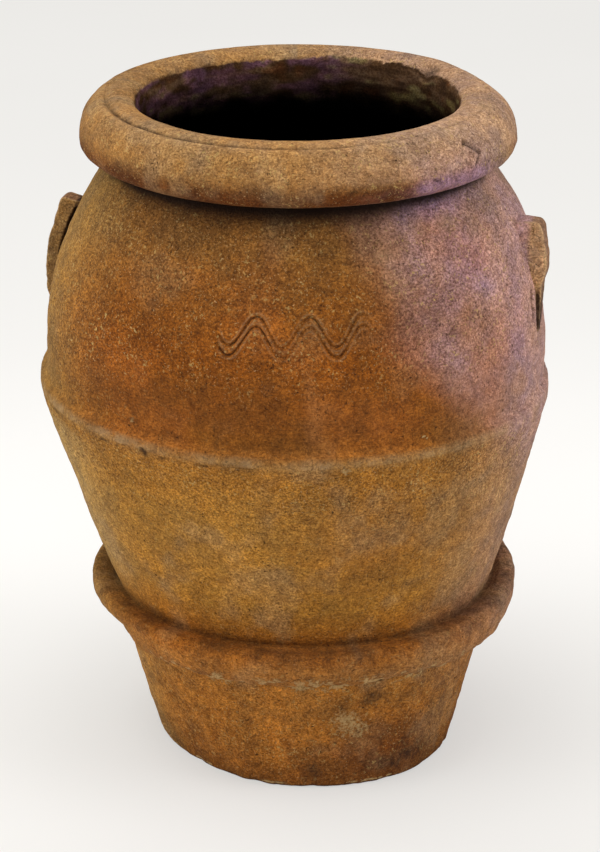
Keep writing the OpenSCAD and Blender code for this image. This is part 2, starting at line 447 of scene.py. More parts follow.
def belly_wall_outline():
    joint_in = (BELLY_R - WALL, BELLY_JOINT_Z + BEVEL)
    low_in = (behind_r - WALL, FOOT_JOINT_Z + BEVEL)
    return outline(
        ([(behind_r, FOOT_JOINT_Z), (CREASE_R, CREASE_Z)], FINE),
        (curve(cone_r, CREASE_Z, BELLY_Z) + [(BELLY_R, BELLY_JOINT_Z)], FINE),
        ([(BELLY_R, BELLY_JOINT_Z), joint_in], HIDDEN),
        ([joint_in, (BELLY_R - WALL, BELLY_Z)] + [low_in], INNER),
        ([low_in, (behind_r, FOOT_JOINT_Z)], HIDDEN),
    )


def belly_band_outline():
    low_z, sunk = 384, 1.2
    toe = (cone_r(low_z) - sunk, low_z)
    reach = (LEDGE_R, low_z + (LEDGE_R - toe[0]) / 0.36)
    top = (BELLY_R - sunk, SHOULDER_Z + 1)
    round_off = (BELLY_R + 4.5, LEDGE_Z + 13.5)
    ledge = bezier((LEDGE_R, LEDGE_Z), (LEDGE_R + 0.4, LEDGE_Z + 12), round_off)
    ledge += bezier(round_off, (BELLY_R + 0.5, LEDGE_Z + 14.5), top)[1:]
    return outline(
        (bezier(toe, reach, (LEDGE_R, LEDGE_Z)), FINE),
        (ledge, 1.6),
        ([top, (BELLY_R - sunk, BELLY_Z)] + [toe], HIDDEN),
    )


def shoulder_wall_outline():
    inner = curve(shoulder_inner_r, NECK_Z, BELLY_JOINT_Z + BEVEL)
    mark_low, mark_high = MARK_Z - 28, MARK_Z + 28
    outer = [(BELLY_R, BELLY_JOINT_Z)] + curve(shoulder_r, SHOULDER_Z, mark_low)
    upper = curve(shoulder_r, mark_high, NECK_Z)
    return outline(
        (outer, FINE),
        (curve(shoulder_r, mark_low, mark_high), FINE / 2),
        (upper, FINE),
        ([upper[-1], inner[0]], HIDDEN),
        (inner, INNER),
        ([inner[-1], outer[0]], HIDDEN),
    )


def neck_ring_outline():
    throat_top = (MOUTH_R, NECK_Z + 40)
    crest = (CREST_R, JAR_H - 0.5)
    crown = bezier(throat_top, (MOUTH_R, MOUTH_EDGE_Z + 6), (MOUTH_R + 9, MOUTH_EDGE_Z + 8))
    crown += bezier(crown[-1], (CREST_R - 6, JAR_H - 0.5), crest)[1:]
    outside = [(GROOVE_R - 2, GROOVE_Z - 14), (GROOVE_R + 1, GROOVE_Z - 2)]
    return outline(
        ([(NECK_R - 1.5, NECK_Z), outside[0]], HIDDEN),
        (outside, 3),
        (bezier(outside[1], (GROOVE_R - 2, GROOVE_Z + 1.5), crest), ROUNDED),
        (crown[::-1], ROUNDED),
        ([throat_top, (MOUTH_R, NECK_Z)], 3),
        ([(MOUTH_R, NECK_Z), (NECK_R - 1.5, NECK_Z)], HIDDEN),
    )


def rim_collar_outline():
    seat = (NECK_R - 1, NECK_Z + 1)
    lip = (GROOVE_R, GROOVE_Z - 1)
    lip_angle = math.degrees(math.acos((GROOVE_R + 5 - RIM_CREST_R) / (RIM_R - RIM_CREST_R)))
    under = arc((NECK_R, RIM_WIDEST_Z), RIM_R - NECK_R, RIM_WIDEST_Z - NECK_Z, -90, 0)
    crown = (RIM_R - RIM_CREST_R, JAR_H - RIM_WIDEST_Z)
    over = arc((RIM_CREST_R, RIM_WIDEST_Z), *crown, 0, lip_angle)
    inward = bezier(over[-1], (GROOVE_R + 2, over[-1][1] + 0.3), lip)
    return outline(
        ([seat, under[0]], 1),
        (under, ROUNDED),
        (over, ROUNDED),
        (inward, 1.5),
        ([lip, (NECK_R - 1, GROOVE_Z - 20)] + [seat], HIDDEN),
    )


def floor_fillet_outline():
    wall_end = (foot_inner_r(FLOOR_T + FILLET) + 1, FLOOR_T + FILLET)
    floor_end = (INNER_BASE_R - FILLET, FLOOR_T - 0.5)
    return outline(
        (bezier(wall_end, (INNER_BASE_R - 2, FLOOR_T + 2), floor_end), 3),
        ([floor_end, (INNER_BASE_R, FLOOR_T - 0.5)], 4),
        ([(INNER_BASE_R, FLOOR_T - 0.5), wall_end], 4),
    )


# -------- meshes
def make_mesh(name, verts, faces, attributes, tint):
    """Smooth mesh that carries its masks and its tint at every point."""
    mesh = bpy.data.meshes.new(name)
    mesh.from_pydata(verts.tolist(), [], faces)
    for key, values in attributes.items():
        layer = mesh.attributes.new(key, "FLOAT", "POINT")
        layer.data.foreach_set("value", np.asarray(values, np.float32))
    layer = mesh.attributes.new("tint", "FLOAT_COLOR", "POINT")
    colours = np.column_stack([tint, np.ones(len(tint))]).astype(np.float32)
    layer.data.foreach_set("color", colours.ravel())
    mesh.shade_smooth()
    mesh.update()
    return mesh


def add_piece(name, mesh, slot):
    """Puts one physical piece into the scene, in its place in the shared frame."""
    obj = bpy.data.objects.new(name, mesh)
    bpy.context.scene.collection.objects.link(obj)
    mesh.materials.append(clays[slot])
    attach(obj, BODY)
    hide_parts(name)


def even_angles(n):
    return np.arange(n) * TAU / n


def angles_with_detail(n, *spans):
    """Even steps, finer over (from, to, step) spans in degrees round from the front."""
    turn = math.radians(FRONT - 90)
    coarse = even_angles(n)
    f = facing(coarse)
    keep = np.ones(n, bool)
    extra = []
    for low, high, step in spans:
        keep &= (f < low) | (f > high)
        extra.append((np.radians(np.arange(low, high, step)) + turn) % TAU)
    return np.sort(np.concatenate([coarse[keep]] + extra))


def tube_faces(n, m):
    """Quads that join n loops of m points each into a closed ring."""
    j = np.arange(m)
    k = (j + 1) % m
    faces = []
    for i in range(n):
        a, b = i * m, ((i + 1) % n) * m
        faces.extend(np.column_stack([a + j, b + j, b + k, a + k]).tolist())
    return faces


def revolved(points, angles):
    """Radius, angle and height of every point of an outline, at each of the angles."""
    n, m = len(angles), len(points)
    return np.tile(points[:, 0], n), np.repeat(angles, m), np.tile(points[:, 1], n)


def ring(name, points, angles, slot):
    """Revolves a closed outline, paints its masks, then carves and displaces it."""
    r, theta, z = revolved(points, angles)
    values = masks(r, theta, z)
    tint = tints(r, theta, z, values)
    carved_r, carved_z = carve(r, theta, z)
    x, y, new_z = displace(carved_r, theta, carved_z)
    verts = np.column_stack([x, y, new_z]) * MM
    mesh = make_mesh(name, verts, tube_faces(len(angles), len(points)), values, tint)
    add_piece(name, mesh, slot)


def disc(name, radius_low, radius_high, height, slot):
    """Floor slab: underside, bevelled edge and upper face, closed at both poles."""
    rings, turns = 25, 180
    steps = np.linspace(0, 1, rings + 1)[1:]
    under = np.column_stack([radius_low * steps, np.zeros(rings)])
    upper = np.column_stack([radius_high * steps[::-1], np.full(rings, height)])
    points = np.vstack([under, upper])
    angles = even_angles(turns)
    n, m = len(angles), len(points)
    r, theta, z = revolved(points, angles)
    uneven = 0.8 * lattice(theta, r, 24, 30, 41) * ramp(r, 5, 40)
    z = np.where(z > 1, z + uneven, z + 0.5 * np.abs(uneven))
    right = math.radians(FRONT)
    shift = np.array([math.cos(right), math.sin(right)]) * DRIFT[0]
    x, y = r * np.cos(theta) + shift[0], r * np.sin(theta) + shift[1]
    verts = np.column_stack([x, y, z])
    poles = np.array([[*shift, 0.3], [*shift, height]])
    verts = np.vstack([verts, poles]) * MM
    faces = []
    low, high = n * m, n * m + 1
    for i in range(n):
        a, b = i * m, ((i + 1) % n) * m
        faces.append([low, b, a])
        faces.extend([[a + j, b + j, b + j + 1, a + j + 1] for j in range(m - 1)])
        faces.append([high, a + m - 1, b + m - 1])
    r, theta, z = np.append(r, [0, 0]), np.append(theta, [0, 0]), np.append(z, [0, height])
    values = masks(r, theta, z)
    mesh = make_mesh(name, verts, faces, values, tints(r, theta, z, values))
    add_piece(name, mesh, slot)


def lug(name, azimuth, outer, inner, tail, slot):
    """Strap lug: rounded-box section swept down between an outer and an inner outline."""
    left = azimuth == LEFT_AZIMUTH
    tail_top, tail_low, swing, narrow = tail
    slit_depth, root_fillet = (0.62, 0) if left else (0.97, 3)
    stations, around, corner = 130, 96, 9
    out, inn = (smoothed(resample_count(side, stations)) for side in (outer, inner))
    t = np.linspace(0, 1, stations)
    towards_tail = ramp(-out[:, 1], -tail_top, -tail_low)
    half = LUG_HALF - 3 * (1 - ramp(t, 0, 0.08)) - narrow * towards_tail
    lean = swing * towards_tail
    # The section: a superellipse, with its points evenly spaced round it.
    phi = np.linspace(0, TAU, 2001)
    a, b = (np.sign(q) * np.abs(q) ** (2 / corner) for q in (np.cos(phi), np.sin(phi)))
    a, b = resample_count(np.column_stack([a, b]), around + 1)[:-1].T
    mid, reach = (out + inn) / 2, (out - inn) / 2
    rz = mid[:, None, :] + reach[:, None, :] * a[None, :, None]
    across = (half[:, None] * b[None, :] + lean[:, None]).ravel()
    r, z = rz[..., 0].ravel(), rz[..., 1].ravel()
    # Clay smeared from the wall on to the strap's sides makes a soft fillet at its root.
    smeared = ramp(FILLET_R - r, 0, 14) * ramp(z, 540, 570)
    across = across + root_fillet * np.tile(b, stations) * smeared
    theta = math.radians(azimuth) + across / r
    # One more point closes each end.
    ends = [0, -1]
    r, z = np.append(r, mid[ends, 0]), np.append(z, mid[ends, 1])
    theta = np.append(theta, math.radians(azimuth) + lean[ends] / mid[ends, 0])
    faces = []
    k = np.arange(around)
    k_next = (k + 1) % around
    for i in range(stations - 1):
        p, q = i * around, (i + 1) * around
        faces.extend(np.column_stack([p + k, p + k_next, q + k_next, q + k]).tolist())
    top, low = stations * around, stations * around + 1
    last = (stations - 1) * around
    faces.extend([[top, int(j + 1) % around, int(j)] for j in k])
    faces.extend([[low, last + int(j), last + int(j + 1) % around] for j in k])
    rough = 0.5 * lattice(theta, z, 260, 8, 81) + 0.35 * lattice(theta, z, 500, 4, 82)
    x, y, new_z = displace(r + rough, theta, z)

    def along(ring_values, at_ends):
        return np.append(np.tile(ring_values, stations), [at_ends, at_ends])

    values = {key: np.zeros(len(r)) for key in MASKS}
    corners = ramp(np.abs(a * b), 0.72, 0.84) * (a > 0)
    broken = ramp(mottle(theta, z, 12, 84), -0.9, 0.3)
    values["worn"] = 0.8 * along(corners, 0) * broken
    # Painted shade on the strap's side towards the wall, in the slit behind it.
    slit = along(ramp(-a, slit_depth, slit_depth + 0.3), 0.6)
    # Painted shade: a dark seam goes on above the left lug's slit; a hole stays under the right
    # one's tail.
    seam_z = ramp(z, 575, 600) if left else ramp(z, 506, 514) * ramp(-z, -552, -540)
    off_wall = r - np.array([shoulder_r(h) for h in z])
    seam = smooth(1 - np.abs(off_wall - 2) / 4) * seam_z
    values["dirt_and_painted_shade"] = np.clip(np.maximum(slit, 1.3 * seam), 0, 1)
    values["flecks"] = values["flecks"] + 0.5
    # The strap's side is painted lit and its outer face painted shaded.
    lit_side_tone, shaded_face_tone = LEFT_LUG_PAINTED_LIGHT_AND_SHADE_TONES if left else RIGHT_LUG_PAINTED_LIGHT_AND_SHADE_TONES
    tint = blend(np.tile(lit_side_tone, (len(r), 1)), shaded_face_tone, along(ramp(a, 0.95, 0.995), 0))
    fade = LEFT_LUG_FADE if left else RIGHT_LUG_FADE
    tint = tint * np.interp(z, LUG_FADE_Z, fade)[:, None]
    # The right strap's root takes the wall's painted lilac, made paler still: painted light on its
    # shaded fillet.
    root = np.zeros_like(r) if left else ramp(FILLET_R + 3 - r, 0, 8)
    tint = blend(tint, 1.25 * np.array(LILAC_PAINTED_LIGHT_TONE), root)
    tint = tint * (1 + 0.14 * mottle(theta, z, 18, 83))[:, None]
    mesh = make_mesh(name, np.column_stack([x, y, new_z]) * MM, faces, values, tint)
    add_piece(name, mesh, slot)


def smoothed(points, passes=6):
    for _ in range(passes):
        inside = 0.25 * points[:-2] + 0.5 * points[1:-1] + 0.25 * points[2:]
        points = np.vstack([points[:1], inside, points[-1:]])
    return points


def lug_inner(top, low, slit):
    """The strap's side towards the wall: sunk into it, or standing off over the slit."""
    zs = np.linspace(top, low, 60)
    off = np.full_like(zs, -LUG_SUNK)
    if slit:
        stand_off = ramp(zs, SLIT_LOW - 12, SLIT_LOW) * (1 - ramp(zs, SLIT_TOP - 5, SLIT_TOP))
        off = off + (LUG_SUNK + SLIT) * stand_off
    return [(float(shoulder_r(h)) + d, float(h)) for h, d in zip(zs, off)]


# -------- colours of the clay, with painted light and shade
MASKS = ("inner", "shade", "dirt_and_painted_shade", "worn", "lime", "flecks")
# Colour of the clay by height at the front, (height, colour); the dark rows at 690 and 702 are
# painted shade on the collar's underside.
TONES = (
    (0, (0.184, 0.065, 0.011)),
    (16, (0.240, 0.085, 0.014)),
    (70, (0.373, 0.141, 0.023)),
    (140, (0.391, 0.155, 0.027)),
    (150, (0.347, 0.133, 0.026)),
    (170, (0.385, 0.149, 0.029)),
    (186, (0.392, 0.132, 0.019)),
    (205, (0.416, 0.153, 0.019)),
    (240, (0.413, 0.181, 0.027)),
    (340, (0.421, 0.198, 0.035)),
    (418, (0.370, 0.154, 0.024)),
    (428, (0.346, 0.173, 0.051)),
    (437, (0.310, 0.113, 0.019)),
    (450, (0.263, 0.090, 0.012)),
    (470, (0.258, 0.083, 0.011)),
    (540, (0.279, 0.080, 0.007)),
    (600, (0.278, 0.097, 0.014)),
    (640, (0.252, 0.105, 0.022)),
    (683, (0.211, 0.089, 0.022)),
    (690, (0.140, 0.037, 0.006)),
    (702, (0.144, 0.045, 0.009)),
    (718, (0.371, 0.177, 0.051)),
    (738, (0.384, 0.195, 0.064)),
    (750, (0.384, 0.200, 0.074)),
)
# Painted light: the left side's paler, greyer colour from the side lamp, and the right side's
# paler, cooler cast.
LEFT_PAINTED_LIGHT_TONE, RIGHT_PAINTED_LIGHT_TONE = (0.400, 0.225, 0.062), (0.430, 0.250, 0.160)
# Painted light: the lilac is the cool light's cast on the upper right; the violet serves painted
# shade under the collar and violet patches.
LILAC_PAINTED_LIGHT_TONE, VIOLET_AND_PAINTED_SHADE_TONE = (0.470, 0.272, 0.260), (0.370, 0.215, 0.310)
GREY_TONE, RUST_TONE = (0.290, 0.185, 0.095), (0.320, 0.095, 0.015)
# Painted light and shade on the straps: the colour of the lit side, then of the shaded outer face.
LEFT_LUG_PAINTED_LIGHT_AND_SHADE_TONES = (0.330, 0.180, 0.060), (0.250, 0.125, 0.060)
RIGHT_LUG_PAINTED_LIGHT_AND_SHADE_TONES = (0.610, 0.360, 0.200), (0.290, 0.160, 0.098)
# How bright the straps are by height.
LUG_FADE_Z = (500, 530, 560, 590, 615)
LEFT_LUG_FADE, RIGHT_LUG_FADE = (1.0, 1.0, 0.72, 1.0, 1.25), (0.4, 0.55, 0.8, 1.0, 1.0)
# Painted light: the rim's paler, cooler right, and the paler lower wall at the left.
RIM_PAINTED_LIGHT_TONE, LEFT_CONE_PAINTED_LIGHT_TONE = (0.470, 0.285, 0.190), (0.540, 0.350, 0.135)
# Spots of the masks and tints: (strength, angle, height, half angle, half height).
STAINS = (
    (1.0, -80, 172, 6, 16), (0.8, 17.6, 114, 12, 26), (0.6, 38, 40, 14, 34),
    (0.6, 51, 72, 8, 42), (0.5, 2, 24, 6, 30), (0.55, 30, 20, 40, 30),
)
WORN_SPOTS = (0.35, 22, 632, 5, 12), (0.4, 44, 652, 6, 16)
LIME_SPOTS = (
    (0.40, 16, 76, 15, 38), (0.25, 12, 96, 10, 24), (0.45, 11, 421, 2.6, 10),
    (0.4, -38.5, 451, 2.6, 11), (0.4, -40, 502, 1.6, 7),
)
# The violet spots at 672 and 696 high are painted shade under the collar at the right; the others
# are violet on the rim's lower right and on the shoulder.
VIOLET_AND_PAINTED_SHADE_SPOTS = (
    (0.8, 46, 600, 15, 60), (0.35, 62, 520, 9, 90), (0.9, 42, 672, 26, 24),
    (0.8, 45, 715, 24, 26), (0.9, 42, 696, 32, 16),
)
RUST_SPOTS = (0.9, 27, 40, 30, 75), (0.4, 20, 330, 34, 110)
# The last pale spot is a painted highlight on the front of the rim; the others pale and darken the
# foot.
PALE_SPOTS_AND_PAINTED_HIGHLIGHT = (0.26, -28, 20, 22, 50), (-0.34, 24, 35, 28, 75), (0.2, 2, 722, 24, 26)


def blend(base, tone, weight):
    return base + (np.array(tone) - base) * np.asarray(weight)[:, None]


def outer_radius(z):
    heights = (0, FOOT_H, CREASE_Z, BELLY_Z, SHOULDER_Z, 560, 620, NECK_Z, NECK_Z + 30, JAR_H)
    radii = (BASE_R, FOOT_TOP_R, CREASE_R, BELLY_R, BELLY_R, 262, 243, NECK_R, 187, 187)
    return np.interp(z, heights, radii)


def throat(r, theta, z):
    """Inside of the mouth: cut off sharply in front, along a crumbled edge at the back."""
    f = facing(theta)
    far = ramp(np.abs(f), 62, 100)
    near = ramp(MOUTH_R + 4 - r, 0, 2) * (1 - ramp(z, 735, 741)) * (1 - far)
    edge = (r - MOUTH_R) + (z - MOUTH_EDGE_Z)
    eroded = ramp(f, 95, 122) * (1 - ramp(f, 168, 179))
    crumbled = (0.7 + 2.4 * eroded) * mottle(theta, z, 12, 79)
    return near + far * (1 - ramp(edge + crumbled, 4 + 6 * eroded, 7 + 7 * eroded))


def shade_mask(r, theta, z, gutter):
    """Shade below the collar, narrower at the sides, and a little in the gutter."""
    wall = (z < NECK_Z + 2) & (z > SHOULDER_Z)
    narrow = 16 * ramp(np.abs(facing(theta) + 5), 15, 60)
    below = 0.97 * ramp(z, 646 + narrow, NECK_Z - 5) ** 2.4 * wall
    collar = 0.85 * (1 - ramp(z, NECK_Z, NECK_Z + 6)) * (z > NECK_Z - 1) * (r < 226)
    return np.maximum.reduce([below, collar, 0.12 * gutter])


def dirt_and_painted_shade_mask(r, theta, z, rough, fine, gutter, cut):
    """Dark in the hollows, the strongest of all: stains and a pitted line; painted shade in the
    crevice under the cordon, under the ledge and along the lower edge; and darkening in the
    gutter, the crease above the cordon, the rim's groove, the notch, the cuts and the scratches.
    """
    f = facing(theta)
    # Painted shade in the crevice under the cordon.
    crevice = np.exp(-(((z - FOOT_H + 4) / 3.0) ** 2)) * ramp(fine - 0.4 * rough, -0.4, 0.4)
    above = ramp(z, 186, 190) * (1 - ramp(z, 191, 201)) * (r < 216)
    pitted = spot(theta, z, -32, 424, 14, 12) * (z < LEDGE_Z + 4) * ramp(fine, 0.1, 0.8)
    groove = smooth(1 - np.abs(r - GROOVE_R) / 4.5) * ramp(z, 736, 742)
    groove = groove * (1 - 0.7 * ramp(f, 6, 22)) * ramp(f, -95, -60) * (f < 75)
    notch = spot(theta, z, 126, 742, 6, 16) * ramp(r, 165, 172) * (1 - ramp(r, 186, 194))
    # Painted shadow in a thin line under the ledge.
    beneath = ramp(z, LEDGE_Z - 5, LEDGE_Z - 2) * (1 - ramp(z, LEDGE_Z - 1, LEDGE_Z + 1))
    beneath = beneath * ramp(fine + 0.5 * rough, -0.1, 0.6)
    places = [
        gutter * (0.16 + 0.32 * rough) * (1 - 0.5 * ramp(-f, 62, 80)),
        0.95 * crevice,
        0.4 * above,
        spots(theta, z, STAINS) * (0.7 + 0.5 * rough),
        pitted,
        0.7 * groove,
        notch,
        np.where(on_shoulder(r, z), 0.75 * ramp(cut, 0.35, 0.95), 0),
        # Painted shadow along the lower edge on the floor.
        0.9 * (1 - ramp(z, 1, 5)) * (r > 120),
        0.7 * beneath * (1 - 0.7 * rightward(f, -15, 0)),
    ]
    for start, end, half_width, depth in SCRATCHES:
        places.append(min(0.9, 0.3 * depth) * stroke(r, theta, z, start, end, half_width))
    return np.maximum.reduce(places)


def worn_mask(r, theta, z, rough, fine, burr):
    """Rubbed pale places: the ledge's crest, the incised line's burrs, the rim's crown."""
    crest = ramp(z, LEDGE_Z, LEDGE_Z + 2.5) * (1 - ramp(z, LEDGE_Z + 6, LEDGE_Z + 14))
    crest = crest * (r > BELLY_R - 4) * np.clip(0.55 + 0.5 * rough + 0.35 * fine, 0, 1)
    return np.maximum.reduce([
        crest * (1 - 0.4 * rightward(facing(theta), -15, 25)),
        np.where(on_shoulder(r, z), 0.55 * burr, 0),
        0.45 * ramp(z, 738, 748) * ramp(rough, -0.2, 0.8) * (r > 200),
        spots(theta, z, WORN_SPOTS),
    ])


def lime_mask(r, theta, z, rough, fine):
    """Pale crust: under the cordon, along the lower edge, and in a few spots."""
    crumbs = ramp(z, FOOT_H - 26, FOOT_H - 5) * (1 - ramp(z, FOOT_H + 8, FOOT_H + 32))
    crumbs = crumbs * (1 - 0.5 * ramp(np.abs(facing(theta)), 40, 65))
    lime = 0.46 * crumbs * ramp(fine + 0.6 * rough, -0.6, 0.5)
    broken = ramp(lattice(theta, np.zeros_like(z), 44, 60, 53) + 0.5 * fine, -0.1, 0.6)
    lime = lime + 0.55 * np.exp(-(((z - 5) / 2.2) ** 2)) * broken
    lime = lime + 0.9 * stroke(r, theta, z, (28.6, 275.6, 448), (30.0, 275.6, 445), 2.0)
    return lime + spots(theta, z, LIME_SPOTS)


def fleck_mask(theta, z):
    """How many pale flecks: few just above the ledge, more below it and at the shoulder."""
    flecks = 0.42 - 0.27 * ramp(z, 426, 436) * (1 - ramp(z, 480, 520))
    flecks = flecks + 0.35 * ramp(z, 480, 540) + 0.3 * (z < 150)
    flecks = flecks + 0.5 * ramp(z, 330, 400) * (1 - ramp(z, 418, 426))
    return flecks + 0.6 * ramp(-facing(theta), 30, 62) * (z < 570) * (z > 440)


def masks(r, theta, z):
    """How strongly each kind of wear, dirt and painted shade lies at a place, 0 to 1."""
    rough, fine = mottle(theta, z, 30, 51), mottle(theta, z, 9, 52)
    cut, burr = comb_line(theta, z)
    gutter = ramp(z, 170, 190) * (1 - ramp(z, 199, 204)) * ramp(r, 213, 222)
    inner = np.where(z > NECK_Z, throat(r, theta, z), ramp(outer_radius(z) - r, 8, 16))
    out = 1 - inner
    raw = {
        "inner": inner,
        "shade": shade_mask(r, theta, z, gutter) * out,
        "dirt_and_painted_shade": dirt_and_painted_shade_mask(r, theta, z, rough, fine, gutter, cut) * out,
        "worn": worn_mask(r, theta, z, rough, fine, burr) * out,
        "lime": lime_mask(r, theta, z, rough, fine) * out,
        "flecks": fleck_mask(theta, z),
    }
    return {key: np.clip(value, 0, 1) for key, value in raw.items()}


def tints(r, theta, z, values):
    """Colour of the clay at a place, before its grain, with painted light and shade: paler sides,
    shade under the collar and a highlight on the rim.
    """
    f = facing(theta)
    heights = [h for h, _ in TONES]
    base = np.column_stack([np.interp(z, heights, [c[k] for _, c in TONES]) for k in range(3)])
    broad, patch = mottle(theta, z, 130, 54), mottle(theta, z, 46, 55)
    rim = ramp(z, NECK_Z, NECK_Z + 8)
    belly = ramp(z, 415, 450) * (1 - ramp(z, 640, 680))
    cone = (1 - ramp(z, 400, 420)) * ramp(z, 200, 260)
    # Painted light: the left side is paler and greyer, as the side lamp lights it, and more so on
    # the lower wall.
    base = blend(base, LEFT_PAINTED_LIGHT_TONE, 0.75 * rightward(-f, 42, 84) * (1 - rim))
    base = blend(base, LEFT_CONE_PAINTED_LIGHT_TONE, 0.55 * rightward(-f, 42, 72) * cone)
    # Painted light: the paler, cooler cast of the light from the right, lilac higher up.
    right = rightward(f, 28, 72) * (1 - 0.4 * rim) * ramp(z, 60, 240)
    base = blend(base, RIGHT_PAINTED_LIGHT_TONE, 0.85 * right)
    pink = rightward(f + 7 * broad, 3, 34)
    pink = pink * ramp(z + 4 * np.clip(f - 10, 0, 60), 560, 640) * (1 - rim)
    base = blend(base, LILAC_PAINTED_LIGHT_TONE, 0.8 * pink * np.clip(0.8 + 0.4 * patch, 0, 1))
    # Violet: painted shade under the collar at the right, and violet patches on the rim and
    # shoulder.
    violet = spots(theta, z, VIOLET_AND_PAINTED_SHADE_SPOTS)
    base = blend(base, VIOLET_AND_PAINTED_SHADE_TONE, np.clip(violet * (0.65 + 0.5 * patch), 0, 1))
    rust = 0.6 * belly * ramp(broad + 0.4 * patch, -0.1, 1.0) * (1 - ramp(np.abs(f), 40, 75))
    rust = rust + 0.6 * (z < 140) * ramp(broad + patch, 0.2, 1.2) * rightward(f, -20, 30)
    rust = rust + spots(theta, z, RUST_SPOTS)
    base = blend(base, RUST_TONE, np.clip(rust, 0, 1))
    grey = 0.4 * ramp(patch - 0.5 * broad, 0.2, 1.1) * (1 - 0.6 * belly)
    grey = grey + 0.5 * rim * ramp(-f, 40, 70) * ramp(patch, -0.4, 0.5) * (z > 735)
    base = blend(base, GREY_TONE, np.clip(grey, 0, 0.8))
    # Painted light: the rim grows paler and cooler towards the right.
    base = blend(base, RIM_PAINTED_LIGHT_TONE, 0.65 * rim * ramp(z, 705, 716) * rightward(f, -5, 50))
    # Paler and darker spots on the foot, and a painted highlight on the rim's front.
    pale = spots(theta, z, PALE_SPOTS_AND_PAINTED_HIGHLIGHT) - 0.14 * rim * rightward(-f, 50, 85)
    front = (1 - ramp(np.abs(f), 5, 35)) * (1 - 0.7 * ramp(z, 430, 450) * (z < NECK_Z))
    pale = pale + 0.14 * front
    base = base * (1 + 0.10 * broad + 0.09 * patch + pale)[:, None]
    return np.clip(blend(base, interior(r, theta, z), values["inner"]), 0.0005, 1)


def interior(r, theta, z):
    """The inside: streaked near the mouth, and painted darker further down to near black, as
    painted shade deep in the jar.
    """
    f = facing(theta)
    streak = lattice(theta, z, 22, 7, 56) + 0.6 * lattice(theta, z, 60, 4, 58)
    patch = lattice(theta, z, 40, 10, 57) + 0.5 * lattice(theta, z, 110, 6, 59)
    tone = np.tile((0.062, 0.032, 0.016), (len(r), 1))
    tone = blend(tone, (0.085, 0.048, 0.026), 0.8 * ramp(streak, 0.1, 0.8))
    purple = np.where(f < 0, ramp(-f, 60, 90), 1 - ramp(180 - f, 0, 30))
    tone = blend(tone, (0.150, 0.066, 0.095), 0.8 * purple * ramp(patch - 0.4 * streak, -0.5, 0.5))
    tone = blend(tone, (0.110, 0.082, 0.032), 0.8 * ramp(patch + 0.5 * streak, 0.45, 1.0))
    tone = blend(tone, (0.130, 0.045, 0.016), 0.6 * ramp(-patch, 0.45, 1.1))
    # Painted shade: the inside darkens the further it lies below the mouth.
    lit = ramp(z + 5 * patch, 684, 736)
    return 0.0002 + 1.35 * tone * (lit**1.7 * (0.6 + 0.7 * ramp(streak, -0.6, 0.8)))[:, None]


# -------- materials
class Graph:
    """Short names for the nodes of one material."""

    def __init__(self, name):
        self.material = bpy.data.materials.new(name)
        self.material.use_nodes = True
        self.tree = self.material.node_tree
        self.tree.nodes.clear()
        self.coords = self.new("TexCoord").outputs["Object"]

    def new(self, kind):
        return self.tree.nodes.new("ShaderNode" + kind)

    def node(self, kind, **inputs):
        n = self.new(kind)
        for key, value in inputs.items():
            self.feed(n.inputs[key.replace("_", " ")], value)
        return n

    def feed(self, socket, value):
        if isinstance(value, bpy.types.NodeSocket):
            self.tree.links.new(value, socket)
        else:
            socket.default_value = value

    def noise(self, scale, detail=3.0, roughness=0.55, vector=None):
        n = self.node("TexNoise", Scale=scale, Detail=detail, Roughness=roughness)
        self.tree.links.new(vector or self.coords, n.inputs["Vector"])
        return n.outputs["Fac"]

    def moved(self, shift, stretch=(1, 1, 1)):
        n = self.new("Mapping")
        self.tree.links.new(self.coords, n.inputs["Vector"])
        n.inputs["Location"].default_value = (shift, shift * 0.7, shift * 1.3)
        n.inputs["Scale"].default_value = stretch
        return n.outputs[0]

    def math(self, op, a, b=0.0, clamp=False):
        n = self.new("Math")
        n.operation, n.use_clamp = op, clamp
        self.feed(n.inputs[0], a)
        self.feed(n.inputs[1], b)
        return n.outputs[0]

    def times(self, *values):
        product = values[0]
        for value in values[1:]:
            product = self.math("MULTIPLY", product, value)
        return product

    def step(self, value, low, high):
        n = self.new("MapRange")
        n.interpolation_type = "SMOOTHSTEP"
        n.inputs["From Min"].default_value = low
        n.inputs["From Max"].default_value = high
        self.tree.links.new(value, n.inputs["Value"])
        return n.outputs["Result"]

    def mix(self, factor, a, b, kind="MIX"):
        n = self.new("Mix")
        n.data_type, n.blend_type = "RGBA", kind
        for index, value in ((0, factor), (6, a), (7, b)):
            self.feed(n.inputs[index], value)
        return n.outputs[2]

    def attribute(self, name, output="Fac"):
        n = self.new("Attribute")
        n.attribute_name = name
        return n.outputs[output]


def rgb(r, g, b):
    return (r, g, b, 1.0)


